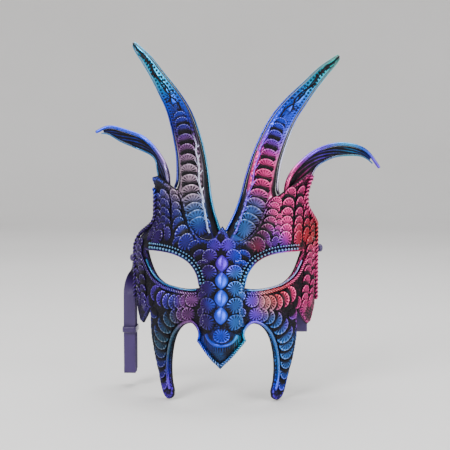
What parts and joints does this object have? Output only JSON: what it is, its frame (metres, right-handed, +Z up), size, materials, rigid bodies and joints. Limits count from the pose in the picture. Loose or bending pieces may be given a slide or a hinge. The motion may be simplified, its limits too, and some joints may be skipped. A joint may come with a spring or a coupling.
{
  "type": "horned carnival half mask",
  "caption": "Half mask for the face with tall horns, side crescents, rows of overlapping scales, tusk-shaped cheeks and ribbon ties.",
  "frame": {"origin": "middle of the flat back of the forehead pad, where the mask rests on the wearer's forehead", "axes": "+Z up along the nose, -Y out of the face, +X to the wearer's left, which is the right as seen from the front"},
  "size_m": [0.2388, 0.1016, 0.2921],
  "materials": {
    "shell": "cast resin, metallic violet paint over a dark ground, satin",
    "horn": "cast resin, metallic blue paint shading to violet and cyan, satin",
    "scale": "cast resin, metallic rose to blue paint with black in the grooves",
    "medallion": "cast resin, metallic steel blue paint with black in the grooves",
    "trim": "cast resin, bright metallic cyan to violet paint, worn to silver on the edges",
    "lining": "black felt",
    "pad": "dark cloth over foam",
    "eyelet": "dark aged brass",
    "ribbon": "dark violet satin ribbon"
  },
  "bodies": {
    "mask": {"face_shell": "shell", "forehead_pad": "pad", "left_brow_scales": "scale", "left_cheek_scales": "scale", "left_crescent": "horn", "left_crescent_low_rim": "trim", "left_crescent_top_rim": "trim", "left_eyelet": "eyelet", "left_horn": "horn", "left_horn_inner_rim": "trim", "left_horn_outer_rim": "trim", "left_horn_scales": "scale", "left_horn_vine": "trim", "left_lid_beads": "trim", "left_lower_lid_cord": "trim", "left_mouth_cord": "trim", "left_nose_flank": "medallion", "left_outer_temple_scales": "scale", "left_side_scales": "scale", "left_temple_scales": "scale", "left_tusk_scales": "scale", "left_wing_braid": "trim", "lining": "lining", "nose_braid": "trim", "nose_medallions": "medallion", "nose_tip_plate": "medallion", "right_brow_scales": "scale", "right_cheek_scales": "scale", "right_crescent": "horn", "right_crescent_low_rim": "trim", "right_crescent_top_rim": "trim", "right_eyelet": "eyelet", "right_horn": "horn", "right_horn_inner_rim": "trim", "right_horn_outer_rim": "trim", "right_horn_scales": "scale", "right_horn_vine": "trim", "right_lid_beads": "trim", "right_lower_lid_cord": "trim", "right_mouth_cord": "trim", "right_nose_flank": "medallion", "right_outer_temple_scales": "scale", "right_side_scales": "scale", "right_temple_scales": "scale", "right_tusk_scales": "scale", "right_wing_braid": "trim"},
    "left_tie": {"left_knot": "ribbon", "left_ribbon": "ribbon", "left_ribbon_hank": "ribbon", "left_hank_tie": "ribbon"},
    "right_tie": {"right_knot": "ribbon", "right_ribbon": "ribbon", "right_ribbon_hank": "ribbon", "right_hank_tie": "ribbon"}
  },
  "joints": [
    {"name": "left_tie_swing", "type": "hinge", "parent": "mask", "child": "left_tie", "pos_m": [-0.076, 0.05017, -0.0105], "axis": [1, 0, 0], "range_deg": [0, 80]},
    {"name": "right_tie_swing", "type": "hinge", "parent": "mask", "child": "right_tie", "pos_m": [0.076, 0.05017, -0.0015], "axis": [1, 0, 0], "range_deg": [0, 80]}
  ]
}
